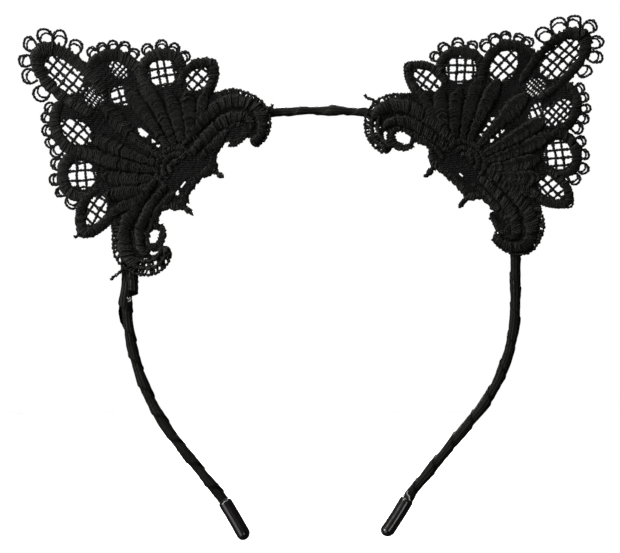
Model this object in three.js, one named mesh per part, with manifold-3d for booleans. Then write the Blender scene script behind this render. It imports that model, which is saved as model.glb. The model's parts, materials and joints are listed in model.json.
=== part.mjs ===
// A lace cat-ear headband. A sprung hoop is wound in satin ribbon and ends in two moulded caps, and a
// guipure lace ear is sewn to the front of each shoulder of the hoop. Millimetres, +Z up as it is worn,
// +X to the right and -Y to the front. The origin is the middle of the crown's underside.
import * as THREE from 'three';
import { mergeVertices } from 'three/addons/utils/BufferGeometryUtils.js';
import Module from 'manifold-3d';

const wasm = await Module();
wasm.setup();

const { cos, sin, sign, PI } = Math;
const radians = THREE.MathUtils.degToRad;

// Driving dimensions. Thick is measured across the hoop in the XZ plane, deep is along Y.
const CLEARANCE = 0.3;
const CORE = { thick: 1.6, deep: 3.0, bevel: 0.25 };
const WRAP = { thick: 3.3, deep: 4.7, bevel: 0.9, wall: 0.55 };
const LACE = { thick: 1.2, net: 0.4, edging: 0.5 };
const CAP = {
  radius: 2.45, socket: 1.8, deepening: 1.22, socketDepth: 10, insertion: 8,
  lip: { wide: 0.5, tall: 0.8 }, domeSteps: 4, facets: 16,
};
const STITCH = { count: 7, thread: 0.6, needleHole: 1.2, outerBevel: 0.9, innerBevel: 0.5 };
const BINDING = { from: 105.5, to: 113, wall: 0.5 };
const GLUE = { from: 0.9, to: 0.3, swell: 0.3 };

// How long the facets are along each stretch, and how many go round each outline of the lace.
const STEP = { crown: 7, arm: 5, binding: 4 };
const FACETS = { tip: 24, petal: 18, picot: 8, window: 12, eye: 10 };

// A cutter longer than everything it cuts.
const BEYOND = { below: -40, above: 80, aside: 60, deep: 4 * LACE.thick };

// The hoop's centre line, from the middle of the crown down each side: straight runs and bends. The two
// arms were bent by hand, so they differ a little.
const UPPER_RUN = [
  { straight: 4 },
  { radius: 90, turn: 25 },
  { radius: 45, turn: 65 },
];
const SIDES = {
  left: {
    way: -1,
    armRun: [{ straight: 16 }, { radius: 83, turn: 39 }, { straight: 22.5 }, { radius: 20, turn: -7 }],
    cap: { length: 15.6, bow: -0.5 },
    ear: { centre: [-53.7, -16.1], axis: 142, stretch: 1.02, lean: 1.5 },
    stitches: { first: 22, last: 94 },
  },
  right: {
    way: 1,
    armRun: [{ straight: 19.3 }, { radius: 60, turn: 39.6 }, { straight: 34.4 }, { radius: 20, turn: -10 }],
    cap: { length: 15.4, bow: 0.8 },
    ear: { centre: [52.9, -13.5], axis: 47.5, stretch: 0.98, lean: -0.8 },
    stitches: { first: 21, last: 90 },
  },
};
const CROWN_HALF = 10.5;
const SHOULDER = { from: 11.5, to: 119.5 };
const ARM_FROM = 120.5;

// The lace bends where its free blade leaves the part that is sewn down. Its inner edge sits a little
// off the ear's axis.
const BEND_LINE = { u: 6, gap: 1 };
const INNER_SWAY = 0.07;

// One half of the ear's outline, from its tip down. u runs out along the ear's axis from the middle of
// the fan, and v runs across it.
const PETALS = {
  tip: [[60.8, 0], [59.4, 2.8], [56.2, 5.4], [51.5, 7.6], [45, 8.3], [34, 7], [28, 0]],
  upper: [[42.6, 8], [42, 13], [39.4, 17.2], [35.2, 20], [29, 20.2], [22, 16], [18, 8], [30, 2]],
  lower: [[28.4, 18], [28, 24.5], [24.6, 29.6], [18.5, 31.8], [14, 30], [9, 20], [14, 10], [24, 12]],
  side: [[14.8, 27], [13.2, 34.4], [8.2, 39.6], [4.4, 35.6], [1.8, 29], [1, 18], [8, 12], [14, 18]],
};
const FAN = [[40, 0], [38, 9], [27, 19], [13, 28], [2, 29], [-6, 24], [-9, 10], [-9, 0]];
const BASE = [
  [6.5, 0], [6.5, 28], [2.4, 28.6], [-1, 33], [-5, 36.6], [-10, 38.6], [-15.5, 37.8], [-19.8, 33.6],
  [-21.4, 28.4], [-20.4, 23.6], [-18.2, 25], [-16.9, 27.6], [-16.6, 23.6], [-14.6, 19.6],
  [-10.8, 18], [-9.8, 14.6], [-11.4, 11.4], [-14, 9.9], [-17.8, 9.5], [-17.8, 7.9], [-14.4, 7],
  [-12.9, 3.6], [-12.4, 0],
];

// See-through windows that hold only net, and the eye of each scroll, which is an open hole.
const WINDOWS = [
  { centre: [45.4, 0], radii: [8.2, 4.7], turn: 0 },
  { centre: [31, 12.8], radii: [6.6, 4.2], turn: 15 },
  { centre: [19.8, 23], radii: [5, 5], turn: 0 },
  { centre: [9.4, 29.5], radii: [4, 5.8], turn: 0 },
];
const EYE = { centre: [-12.2, 23], radii: [2, 2.6], turn: 0 };

// Thread loops along the ear's edge, as the centre of each and its radius.
const PICOTS = [
  { centre: [62.4, 0], radius: 2.4 },
  { centre: [59.4, 5.6], radius: 2.7 },
  { centre: [55, 8.9], radius: 2.7 },
  { centre: [48.2, 10.5], radius: 2.6 },
  { centre: [42.8, 12.2], radius: 1.9 },
  { centre: [41.6, 15.8], radius: 2 },
  { centre: [38.9, 19.1], radius: 2 },
  { centre: [35.6, 21.4], radius: 2 },
  { centre: [32, 21.8], radius: 2.1 },
  { centre: [29.2, 25.8], radius: 2.2 },
  { centre: [26, 29.8], radius: 2.2 },
  { centre: [21.7, 32.3], radius: 2.2 },
  { centre: [16.7, 33], radius: 2.2 },
];

const MATERIALS = {
  steel: new THREE.MeshStandardMaterial({ color: 0x6f7276, roughness: 0.35, metalness: 1 }),
  ribbon: new THREE.MeshStandardMaterial({ color: 0x151516, roughness: 0.5, metalness: 0 }),
  lace: new THREE.MeshStandardMaterial({ color: 0x111112, roughness: 0.8, metalness: 0 }),
  thread: new THREE.MeshStandardMaterial({ color: 0x18181a, roughness: 0.7, metalness: 0 }),
  cap: new THREE.MeshStandardMaterial({ color: 0x0c0c0d, roughness: 0.15, metalness: 0 }),
  glue: new THREE.MeshStandardMaterial({ color: 0x9a9a98, roughness: 0.4, metalness: 0 }),
};

const runLength = (run) => run.straight ?? run.radius * radians(Math.abs(run.turn));

/** A point on the hoop's centre line. Distance is negative down the left side. */
function hoopPoint(distance) {
  const side = distance < 0 ? SIDES.left : SIDES.right;
  let left = Math.abs(distance);
  let x = 0;
  let z = WRAP.thick / 2;
  let heading = 0;
  for (const run of [...UPPER_RUN, ...side.armRun]) {
    const step = Math.min(left, runLength(run));
    if (run.straight) {
      x += step * cos(heading);
      z += step * sin(heading);
    } else {
      const bend = sign(run.turn) * run.radius;
      const after = heading - step / bend;
      x += bend * (sin(heading) - sin(after));
      z += bend * (cos(after) - cos(heading));
      heading = after;
    }
    left -= step;
  }
  x += left * cos(heading);
  z += left * sin(heading);
  return { x: side.way * x, z, heading: side.way > 0 ? heading : PI - heading };
}

/** The length of one side of the hoop, from the crown's middle to the mouth of its cap. */
function mouthDistance(side) {
  return [...UPPER_RUN, ...side.armRun].map(runLength).reduce((sum, length) => sum + length, 0);
}

/** A stretch of the hoop's centre line, as a three.js curve. */
class HoopStretch extends THREE.Curve {
  constructor(from, to) {
    super();
    this.from = from;
    this.to = to;
  }

  getPoint(t) {
    const { x, z } = hoopPoint(this.from + (this.to - this.from) * t);
    return new THREE.Vector3(x, 0, z);
  }
}

/** The corners of a bevelled rectangle. */
function bevelledCorners(width, height, bevel) {
  const [w, h] = [width / 2, height / 2];
  return [
    [w, bevel - h], [w, h - bevel], [w - bevel, h], [bevel - w, h],
    [-w, h - bevel], [-w, bevel - h], [bevel - w, -h], [w - bevel, -h],
  ].map(([x, y]) => new THREE.Vector2(x, y));
}

/** Sweeps a bevelled strip along the hoop, hollow when it has a wall. */
function sweep(from, to, { thick, deep, bevel, wall }, stepLength) {
  const section = new THREE.Shape(bevelledCorners(deep, thick, bevel));
  if (wall) {
    section.holes.push(new THREE.Path(bevelledCorners(deep - 2 * wall, thick - 2 * wall, bevel / 2)));
  }
  const steps = Math.max(1, Math.round(Math.abs(to - from) / stepLength));
  return new THREE.ExtrudeGeometry(section, { extrudePath: new HoopStretch(from, to), steps });
}

/** Leaves only the merged corners of a closed mesh. */
function bare(geometry) {
  geometry.deleteAttribute('normal');
  geometry.deleteAttribute('uv');
  return mergeVertices(geometry, 1e-4);
}

/** A manifold solid from a closed three.js geometry. */
function solid(geometry) {
  const merged = bare(geometry);
  return new wasm.Manifold(new wasm.Mesh({
    numProp: 3,
    vertProperties: new Float32Array(merged.attributes.position.array),
    triVerts: new Uint32Array(merged.index.array),
  }));
}

/** A three.js geometry from a manifold solid. */
function toGeometry(manifold) {
  const mesh = manifold.getMesh();
  const geometry = new THREE.BufferGeometry();
  geometry.setAttribute('position', new THREE.BufferAttribute(mesh.vertProperties, 3));
  geometry.setIndex(new THREE.BufferAttribute(mesh.triVerts, 1));
  geometry.computeVertexNormals();
  return geometry;
}

const union = (solids) => solids.reduce((whole, next) => whole.add(next));

/** Places a point of the ear's own plan in the XZ plane. The blade leans a little more towards its tip. */
function earPoint({ centre, axis, stretch, lean }, way, u, v) {
  const along = u * stretch;
  const across = v + (u > 0 ? lean * (u / 60) ** 2 : INNER_SWAY * u);
  const angle = radians(axis);
  return new THREE.Vector2(
    centre[0] + along * cos(angle) - way * across * sin(angle),
    centre[1] + along * sin(angle) + way * across * cos(angle),
  );
}

/** A flat piece of the lace, centred on the lace's own mid-plane. */
function plate(side, outline, thick) {
  const points = outline.map(([u, v]) => earPoint(side.ear, side.way, u, v));
  const geometry = new THREE.ExtrudeGeometry(new THREE.Shape(points), { depth: thick, bevelEnabled: false });
  geometry.rotateX(PI / 2);
  geometry.translate(0, thick / 2 - WRAP.deep / 2 - CLEARANCE - LACE.thick / 2, 0);
  return solid(geometry);
}

/** A closed outline with rounded corners through the given points. */
function rounded(points, count) {
  const curve = new THREE.CatmullRomCurve3(points.map(([u, v]) => new THREE.Vector3(u, v, 0)), true);
  return curve.getPoints(count).slice(0, -1).map(({ x, y }) => [x, y]);
}

/** An ellipse in the ear's plan. */
function ellipse({ centre, radii, turn }, count) {
  const angle = radians(turn);
  return Array.from({ length: count }, (_, i) => {
    const t = (2 * PI * i) / count;
    const [a, b] = [radii[0] * cos(t), radii[1] * sin(t)];
    return [centre[0] + a * cos(angle) - b * sin(angle), centre[1] + a * sin(angle) + b * cos(angle)];
  });
}

const acrossAxis = (outline) => outline.map(([u, v]) => [u, -v]).reverse();
const bothHalves = (outline) => [...outline, ...acrossAxis(outline).filter(([, v]) => v !== 0)];
const ellipseAcross = (hole) => ({ ...hole, centre: [hole.centre[0], -hole.centre[1]], turn: -hole.turn });
const pairOf = (hole) => (hole.centre[1] === 0 ? [hole] : [hole, ellipseAcross(hole)]);

/** All the lace of one ear, before it is parted at the bend line. */
function wholeEar(side) {
  const petals = Object.entries(PETALS).flatMap(([name, outline]) => {
    if (name === 'tip') {
      return [rounded(bothHalves(outline), FACETS.tip)];
    }
    const petal = rounded(outline, FACETS.petal);
    return [petal, acrossAxis(petal)];
  });
  const outlines = [bothHalves(FAN), bothHalves(BASE), ...petals];
  const body = outlines.map((outline) => plate(side, outline, LACE.thick));
  const loops = PICOTS.flatMap(({ centre, radius }) => pairOf({ centre, radii: [radius, radius], turn: 0 }))
    .map((loop) => plate(side, ellipse(loop, FACETS.picot), LACE.edging));
  const lace = union([...body, ...loops]);
  const holes = WINDOWS.flatMap(pairOf).map((hole) => ellipse(hole, FACETS.window));
  const recesses = holes.map((outline) => plate(side, outline, BEYOND.deep));
  const nets = holes.map((outline) => plate(side, outline, LACE.net));
  const windows = union(recesses).subtract(union(nets));
  const eyes = pairOf(EYE).map((hole) => plate(side, ellipse(hole, FACETS.eye), BEYOND.deep));
  return lace.subtract(windows).subtract(union(eyes));
}

/** Everything on one side of the ear's bend line. */
function halfPlane(side, fromU, toU) {
  const { aside, deep } = BEYOND;
  return plate(side, [[fromU, -aside], [fromU, aside], [toU, aside], [toU, -aside]], deep);
}

/** Where each stitch goes round the hoop. */
function stitchDistances(side) {
  const { first, last } = side.stitches;
  const step = (last - first) / (STITCH.count - 1);
  return Array.from({ length: STITCH.count }, (_, i) => side.way * (first + i * step));
}

/** Turns a piece drawn along +Z, with X across the hoop and Y deep, to its place. */
function placeAlongHoop(geometry, distance) {
  const { x, z, heading } = hoopPoint(distance);
  geometry.rotateY(PI / 2 - heading);
  geometry.translate(x, 0, z);
  return geometry;
}

/** The inside and outside of a stitch: it holds the ribbon and the lace together. */
function stitchFrame() {
  const insideThick = WRAP.thick + 2 * CLEARANCE;
  const back = WRAP.deep / 2 + CLEARANCE;
  const front = WRAP.deep / 2 + 2 * CLEARANCE + LACE.thick;
  return { insideThick, insideDeep: back + front, shift: (back - front) / 2 };
}

/** One thread loop round the hoop and the lace. */
function stitch(distance) {
  const { insideThick, insideDeep, shift } = stitchFrame();
  const [thick, deep] = [insideThick + 2 * STITCH.thread, insideDeep + 2 * STITCH.thread];
  const ring = new THREE.Shape(bevelledCorners(thick, deep, STITCH.outerBevel));
  ring.holes.push(new THREE.Path(bevelledCorners(insideThick, insideDeep, STITCH.innerBevel)));
  const geometry = new THREE.ExtrudeGeometry(ring, { depth: STITCH.thread, bevelEnabled: false });
  geometry.translate(0, shift, -STITCH.thread / 2);
  return placeAlongHoop(geometry, distance);
}

/** The two needle holes that one stitch passes through. */
function needleHoles(distance) {
  const { insideThick } = stitchFrame();
  const offset = (insideThick + STITCH.thread) / 2;
  return [-offset, offset].map((across) => {
    const hole = new THREE.BoxGeometry(STITCH.needleHole, BEYOND.deep, STITCH.needleHole);
    hole.translate(across, -WRAP.deep / 2 - CLEARANCE - LACE.thick / 2, 0);
    return solid(placeAlongHoop(hole, distance));
  });
}

/** One end cap: a blind moulded tube, a little deeper than it is wide. */
function endCap(side) {
  const { radius, socket, deepening, socketDepth, lip, domeSteps, facets } = CAP;
  const { length, bow } = side.cap;
  const dome = length - radius;
  const profile = [
    [0, socketDepth], [socket, socketDepth], [socket, 0],
    [radius - lip.wide, 0], [radius, lip.tall], [radius, dome],
  ];
  for (let i = 1; i < domeSteps; i += 1) {
    const angle = (i * PI) / (2 * domeSteps);
    profile.push([radius * cos(angle), dome + radius * sin(angle)]);
  }
  profile.push([0, length]);
  const geometry = new THREE.LatheGeometry(profile.map(([x, y]) => new THREE.Vector2(x, y)), facets);
  const position = geometry.attributes.position;
  for (let i = 0; i < position.count; i += 1) {
    const along = position.getY(i);
    const bowed = side.way * bow * (along / length) ** 2;
    position.setXYZ(i, position.getX(i) + bowed, position.getZ(i) * deepening, along);
  }
  const facingOut = bare(geometry);
  facingOut.setIndex(Array.from(facingOut.index.array).reverse());
  return placeAlongHoop(facingOut, side.way * mouthDistance(side));
}

const part = new THREE.Group();

/** Adds one named piece. */
function add(name, geometry, material) {
  const mesh = new THREE.Mesh(geometry, material);
  mesh.name = name;
  part.add(mesh);
}

function addCrown() {
  add('crown_core', sweep(-CROWN_HALF, CROWN_HALF, CORE, STEP.crown), MATERIALS.steel);
  add('crown_ribbon', sweep(-CROWN_HALF, CROWN_HALF, WRAP, STEP.crown), MATERIALS.ribbon);
}

function addHoopSide(name, side) {
  const mouth = mouthDistance(side);
  const ribbonEnd = mouth - GLUE.from - CLEARANCE;
  const shoulder = [side.way * SHOULDER.from, side.way * SHOULDER.to];
  add(`${name}_shoulder_core`, sweep(...shoulder, CORE, STEP.arm), MATERIALS.steel);
  add(`${name}_shoulder_ribbon`, sweep(...shoulder, WRAP, STEP.arm), MATERIALS.ribbon);
  const armFrom = side.way * ARM_FROM;
  const coreEnd = side.way * (mouth + CAP.insertion);
  add(`${name}_arm_core`, sweep(armFrom, coreEnd, CORE, STEP.arm), MATERIALS.steel);
  add(`${name}_arm_ribbon`, sweep(armFrom, side.way * ribbonEnd, WRAP, STEP.arm), MATERIALS.ribbon);
  const bead = { ...WRAP, thick: WRAP.thick + GLUE.swell, deep: WRAP.deep + GLUE.swell };
  const beadEnds = [side.way * (mouth - GLUE.from), side.way * (mouth - GLUE.to)];
  add(`${name}_cap_glue_bead`, sweep(...beadEnds, bead, STEP.arm), MATERIALS.glue);
  add(`${name}_end_cap`, endCap(side), MATERIALS.cap);
}

function addEar(name, side) {
  const lace = wholeEar(side);
  const { u, gap } = BEND_LINE;
  const holes = stitchDistances(side).flatMap(needleHoles);
  const sewn = lace.intersect(halfPlane(side, BEYOND.below, u - gap / 2)).subtract(union(holes));
  const blade = lace.intersect(halfPlane(side, u + gap / 2, BEYOND.above));
  add(`${name}_ear_lace_base`, toGeometry(sewn), MATERIALS.lace);
  add(`${name}_ear_lace_blade`, toGeometry(blade), MATERIALS.lace);
  stitchDistances(side).forEach((distance, i) => {
    add(`${name}_ear_stitch_${i + 1}`, stitch(distance), MATERIALS.thread);
  });
}

/** The last turns of ribbon, lapped over the winding below the left ear. */
function addBinding() {
  const lap = 2 * (CLEARANCE + BINDING.wall);
  const band = { thick: WRAP.thick + lap, deep: WRAP.deep + lap, bevel: WRAP.bevel, wall: BINDING.wall };
  add('left_ribbon_binding', sweep(-BINDING.from, -BINDING.to, band, STEP.binding), MATERIALS.ribbon);
}

addCrown();
for (const [name, side] of Object.entries(SIDES)) {
  addHoopSide(name, side);
  addEar(name, side);
}
addBinding();

export default part;
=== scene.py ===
"""The looks of a lace cat-ear headband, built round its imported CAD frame. Shapes are worked out in
millimetres and written to Blender in metres. Left and right are as seen from the front."""
import json
import math
from collections import namedtuple

import bmesh
import bpy
import numpy as np
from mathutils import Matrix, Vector


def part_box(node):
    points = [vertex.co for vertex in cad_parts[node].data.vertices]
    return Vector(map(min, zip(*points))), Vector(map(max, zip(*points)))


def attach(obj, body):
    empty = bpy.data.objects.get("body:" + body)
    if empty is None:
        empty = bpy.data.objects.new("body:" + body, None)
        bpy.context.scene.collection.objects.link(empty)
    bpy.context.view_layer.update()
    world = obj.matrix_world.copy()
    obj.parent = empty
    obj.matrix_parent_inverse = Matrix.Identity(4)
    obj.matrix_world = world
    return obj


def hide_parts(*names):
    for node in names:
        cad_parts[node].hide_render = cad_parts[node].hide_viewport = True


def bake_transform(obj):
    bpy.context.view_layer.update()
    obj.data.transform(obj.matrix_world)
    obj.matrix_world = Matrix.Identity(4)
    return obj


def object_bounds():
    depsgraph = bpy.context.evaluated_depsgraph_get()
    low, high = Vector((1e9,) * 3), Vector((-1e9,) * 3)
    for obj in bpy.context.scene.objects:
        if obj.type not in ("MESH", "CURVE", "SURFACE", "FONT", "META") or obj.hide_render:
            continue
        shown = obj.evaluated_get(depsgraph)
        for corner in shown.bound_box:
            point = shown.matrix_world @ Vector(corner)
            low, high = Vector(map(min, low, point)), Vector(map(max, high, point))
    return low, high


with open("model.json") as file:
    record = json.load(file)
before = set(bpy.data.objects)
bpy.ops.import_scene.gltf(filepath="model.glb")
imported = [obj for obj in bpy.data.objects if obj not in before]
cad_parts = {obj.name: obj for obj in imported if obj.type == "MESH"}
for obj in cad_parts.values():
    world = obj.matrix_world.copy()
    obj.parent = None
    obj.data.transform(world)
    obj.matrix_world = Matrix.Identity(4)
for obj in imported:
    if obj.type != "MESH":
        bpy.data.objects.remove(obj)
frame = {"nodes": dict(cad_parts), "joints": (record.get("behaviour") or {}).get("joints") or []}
CAD_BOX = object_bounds()
METRES = 0.001

# The hoop's centre line down each side, as in part.mjs. Each cap has its length and bow, and the
# stitches have the first and last distance.
WRAP = {"thick": 3.3, "deep": 4.7}
UPPER_RUN = [("straight", 4), ("bend", 90, 25), ("bend", 45, 65)]
SIDES = {
    "left": {
        "way": -1,
        "arm_run": [("straight", 16), ("bend", 83, 39), ("straight", 22.5), ("bend", 20, -7)],
        "cap": (15.6, -0.5),
        "stitches": (22, 94),
    },
    "right": {
        "way": 1,
        "arm_run": [("straight", 19.3), ("bend", 60, 39.6), ("straight", 34.4), ("bend", 20, -10)],
        "cap": (15.4, 0.8),
        "stitches": (21, 90),
    },
}
CAP_RADIUS = 2.45
CAP_DEEPENING = 1.22
STITCH_COUNT = 7
# Between which distances down each side the ribbon bends, and where its two lengths meet.
SHOULDER_BEND = (1, 21)
ARM_BEND = (112, 128)
RIBBON_SPLIT = 60

# The ear's plan. u runs out along its axis from the middle of the fan, v runs across it. Stretch and
# inner scale it along u, lean, shift and skew slant it, and border and window size its petals.
EARS = {
    "left": {"stretch": 1.02, "inner": 1.08, "lean": 2.2, "shift": -0.7, "skew": 0, "open_eye": -1,
             "border": 0.95, "window": 1.04, "seed": 3},
    "right": {"stretch": 0.98, "inner": 1.05, "lean": -0.8, "shift": 0, "skew": -0.025, "open_eye": 1,
              "border": 0.84, "window": 1.13, "seed": 8},
}
INNER_SWAY = 0.07
# Where sewing pulled the lace out of shape: the place in the plan, how far it reaches, and the pull.
PULLS = {
    "left": [(8.5, 38.5, 6, 0, -1.7), (1.2, 30, 2.5, 0, -1.2), (-7, 37, 6, 0, -0.9), (-16, 22, 4, 1.2, 0),
             (-10.8, 15.5, 3.5, -1, 0), (-14, 7.5, 3.5, -0.9, -0.6), (-14, -7.5, 3.2, -0.6, 0.5),
             (-10.6, -15, 4.5, 1.2, 0), (-15.5, -22, 4.5, 1.3, 0), (5.5, -36.5, 6, -0.9, -0.6),
             (-6, -37.5, 4, 0, -0.8), (27, -30, 8, 0.5, -0.6)],
    "right": [(8.5, 38.5, 6, 0, -1.2), (-11.6, 12.5, 4.5, 1.6, 0), (-15, 8.2, 3, 0, -1.5),
              (-12, 21.5, 3.5, 0.9, -1.3), (-11.3, -11, 2.5, 1.3, 0), (-15, -8.6, 3, 0, 0.5),
              (-14.5, -20.5, 3.5, 1.2, 0), (-2, -34.5, 5, 0.4, -0.8), (6.5, -38, 6, 0.6, 1.3),
              (34, -23, 9, -0.3, 0.8), (48, -12, 4, 0, 1.2), (37, 21, 7, 0.6, 0.5)],
}
# Where along u the free blade bends, and how far to each side.
BEND_AT = 6
BEND_REACH = 5

# Satin-stitched bands, as points (u, v, width). Those off the axis have a mirror twin.
TIP_BORDER = [(29.9, 4.3, 3), (34.4, 5.2, 4), (40.3, 6, 4.4), (46, 6.1, 4.5), (50.7, 5.5, 4.8),
              (54.8, 3.6, 5.5), (57.2, 0, 6.4)]
BORDERS = {
    "upper": [(41, 7.2, 3), (40.6, 10.5, 4), (38.8, 14.1, 4.4), (35.9, 16.9, 4.6), (31.9, 18.3, 4.6),
              (27.6, 18.1, 4.4), (23.6, 16.2, 4.2), (20, 13.6, 3.8), (16.9, 11.4, 2.8)],
    "lower": [(15.2, 13.6, 3), (20, 15.4, 3.8), (24.2, 17.1, 4.4), (26.5, 20.3, 4.6), (26.1, 24.3, 4.6),
              (23.8, 27.7, 4.6), (20, 29.8, 4.4), (16.4, 29.2, 4), (14.3, 26.8, 3.2)],
    "side": [(12.4, 23, 2.8), (13.6, 26.6, 3.4), (13.2, 30.8, 3.8), (11.4, 34.6, 3.8), (8.3, 37.6, 3.4),
             (5.8, 34.9, 3.8), (4.2, 30.9, 3.8), (3.6, 26.7, 3.6), (3.9, 23.3, 2.8)],
}
CENTRAL_LEAF = [(1.5, 0, 2), (6, 0, 2.8), (12, 0, 3.6), (18, 0, 5.4), (24, 0, 7), (29.2, 0, 4.8)]
LEAVES = [
    [(2.4, 3.4, 2.4), (8, 5.4, 3.6), (15, 7.6, 5.2), (21, 9.3, 6), (26.4, 10.6, 4.4)],
    [(1.2, 5.6, 2.6), (7, 9, 4), (13, 12, 5.2), (18.4, 14.4, 5.4), (22, 16, 3.4)],
    [(0, 8, 2.8), (5, 12.6, 4.6), (10, 16.2, 6), (14.8, 18.8, 4.8)],
    [(-1.2, 11, 3), (3, 16.6, 4.8), (6.8, 20.8, 6), (9.8, 23.8, 4.2)],
    [(-1.6, 15, 2.8), (1.2, 20.6, 4.2), (3, 24.8, 4.2), (3.8, 28, 2.6)],
]
SCROLL_BODY = [(-1, 7.5, 2.6), (-1, 14, 3.8), (-1.4, 21, 4.6), (-2.6, 27.2, 5), (-5.4, 31.6, 5),
               (-9.4, 34.4, 4.8), (-13.4, 34.4, 4.4), (-16.8, 31.6, 3.8), (-18.6, 28, 3.6),
               (-18.6, 23.6, 3)]
INNER_SCROLL = [(-4.8, 6.5, 2.6), (-4.9, 13, 3.6), (-5.6, 19.5, 4.2), (-7.2, 25, 4.4), (-10.4, 29, 3.6),
                (-13.6, 29.6, 2.6), (-15.2, 27.4, 1.8)]
HUB_WING = [(-8.2, 6.4, 2.2), (-8, 12.4, 2.8), (-8.6, 18, 3.2), (-9.6, 22, 2.8)]
RIM = [(-9.9, 18.4, 1.8), (-9.3, 15, 2), (-10, 12, 2.4), (-11.9, 9.2, 3), (-11.4, 4.6, 2.4),
       (-11.1, 0, 2.4)]
SPIKE = [(-12.6, 8.7, 2.4), (-15.2, 8.7, 1.9), (-17.3, 8.7, 1.6)]
# Edge cords, as points (u, v). The open scroll ends in two cords that curl back to a satin tip.
SCROLL_EDGE = [(0.6, 30.2), (-3.6, 35.1), (-8.8, 37.6), (-14.4, 37), (-18.7, 33.3), (-20.3, 28.6),
               (-20, 24.2)]
CURL_CORDS = [
    [(-11.4, 33.4), (-14.6, 31.4), (-16.6, 28.2), (-16.8, 24.6)],
    [(-12.4, 35.4), (-16.3, 32.9), (-18.6, 28.8), (-18.5, 24.8)],
]
CURL_END = [(-15.8, 25.8, 1.8), (-17.2, 24.4, 2.8), (-18.6, 24.2, 3), (-19.6, 25.4, 2)]
SIDE_EDGE = [(14.6, 27.4), (13.9, 32.4), (11.6, 36.4), (8.2, 39.3), (5.2, 36.6), (3, 32.4), (1.9, 29)]
LOBE_EDGE = [(-12, 18), (-14.9, 19.8), (-16.1, 23.2), (-15.1, 26)]
EYE = {"centre": (-12.4, 23), "radii": (2.9, 3.4), "width": 2.3}
BOSS = {"centre": (-3.4, 0), "radii": (1.6, 3.7, 5.8), "width": 2.3}
GROUND_OUTLINE = [
    (39.5, 0), (40.5, 8), (38.4, 14.4), (33, 18.6), (27, 18.6), (26, 25), (21, 29.8), (14.4, 28.6),
    (12.6, 33), (8.2, 37), (4.2, 32), (2.6, 29.5), (-2, 32.8), (-6, 35.2), (-11, 36), (-15.4, 34.4),
    (-18.2, 30.8), (-19.2, 25.6), (-16.4, 24.6), (-15.6, 20.8), (-11, 18.6), (-9.2, 15), (-10.6, 11.4),
    (-12.4, 9), (-12.2, 4.6), (-11.9, 0),
]

# See-through ovals, each turned by some degrees. Each one's net is turned again and has two pitches.
Opening = namedtuple("Opening", "centre radii turn net pitch")
WINDOWS = {
    "tip": Opening((46, 0), (8.1, 4.2), 0, 0, (2.6, 3)),
    "upper": Opening((30.7, 12.6), (5.9, 3.7), 15, -16, (2.7, 3.3)),
    "lower": Opening((19.8, 22.7), (4.7, 4.4), 0, 42, (2.9, 2.9)),
    "side": Opening((9.1, 29.2), (3.3, 4.9), 0, 4, (2.8, 2.8)),
}
# On one half of each ear the upper window is netted more closely.
CLOSE_WINDOWS = {
    "left": Opening((32.8, 14.2), (4, 2.4), 15, -16, (1.4, 1.6)),
    "right": Opening((30.7, -12.6), (5.6, 3.4), -15, 16, (1.9, 2.1)),
}
NET_PATCHES = {
    "left": [
        Opening((33, 1.2), (3.6, 3.6), 0, 0, (0.8, 1.5)),
        Opening((25.6, 7.6), (4.4, 3), -30, -25, (2.3, 2.5)),
    ],
    "right": [
        Opening((32.4, -0.8), (3.4, 3.4), 0, 0, (0.85, 1.5)),
        Opening((25.2, -6.8), (4.4, 2), 32, 32, (2.2, 2.4)),
    ],
}
NET_THREAD = {"radius": 0.35, "apart": 0.17}
CLOSE_NET_THREAD = {"radius": 0.2, "apart": 0.1}
CLOSE_PITCH = 1.5
FEWEST_STEPS = 8
# Small holes in the ground, as (u, v, radius along, radius across).
GAPS = {
    "left": [(12.3, 2.2, 2, 1), (7.6, 2.2, 0.8, 0.5), (5.4, 1.9, 0.6, 0.4), (3, -23.4, 1, 1),
             (-8.9, -6.4, 0.5, 0.9), (-8.9, -2.6, 0.3, 1.5)],
    "right": [(13.6, 2.8, 0.8, 0.5), (11.4, 2.5, 0.7, 0.4), (9.2, 2.3, 0.6, 0.4), (6.9, 1.9, 0.6, 0.4),
              (12.8, -2.7, 0.8, 0.5), (10.4, -2.4, 0.6, 0.4), (7.6, -2.1, 0.7, 0.5),
              (-8.2, -1.6, 0.3, 0.7)],
}
# Loops on the petals' outer edges, as (u, v, radius).
PICOT_ROWS = {
    "tip": [(61.8, 0, 2.1), (59.1, 5.4, 2.4), (54.7, 8.7, 2.4), (48.3, 10.1, 2.5)],
    "upper": [(42.5, 12, 1.7), (41.3, 15.5, 1.7), (38.7, 18.8, 1.7), (35.2, 21.2, 1.7), (31.5, 22.1, 1.7)],
    "lower": [(28.8, 25.4, 1.9), (25.7, 29.5, 1.9), (21.5, 32.1, 1.9), (16.8, 32.6, 1.9)],
}
# Loose thread ends left where the motif was cut from its strip.
SPURS = {
    "left": [
        [(-10.3, -38.6), (-10, -41), (-9.5, -43), (-9.3, -44.6)],
        [(8.6, -39), (8.8, -40.6), (9.4, -41)],
        [(-15, 36.6), (-15.8, 38.2), (-15.4, 39)],
    ],
    "right": [
        [(-8.6, 37.6), (-9, 39.4), (-9.6, 40.8), (-9.2, 42)],
        [(-13, -23.4), (-15.4, -23.6), (-16.2, -24)],
    ],
}

# The ribbon: a turn's pitch and width, how far a turn rises over the last, and the cloth's thickness.
RIBBON = {"pitch": 10.4, "width": 12.6, "rise": 0.33, "cloth": 0.13}
# The winding is thinner over the crown and sags a little, except at one lump.
CROWN = {"from": 13, "to": 19, "thinning": 0.36, "drop": -0.35, "bump_at": 3.9}
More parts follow.
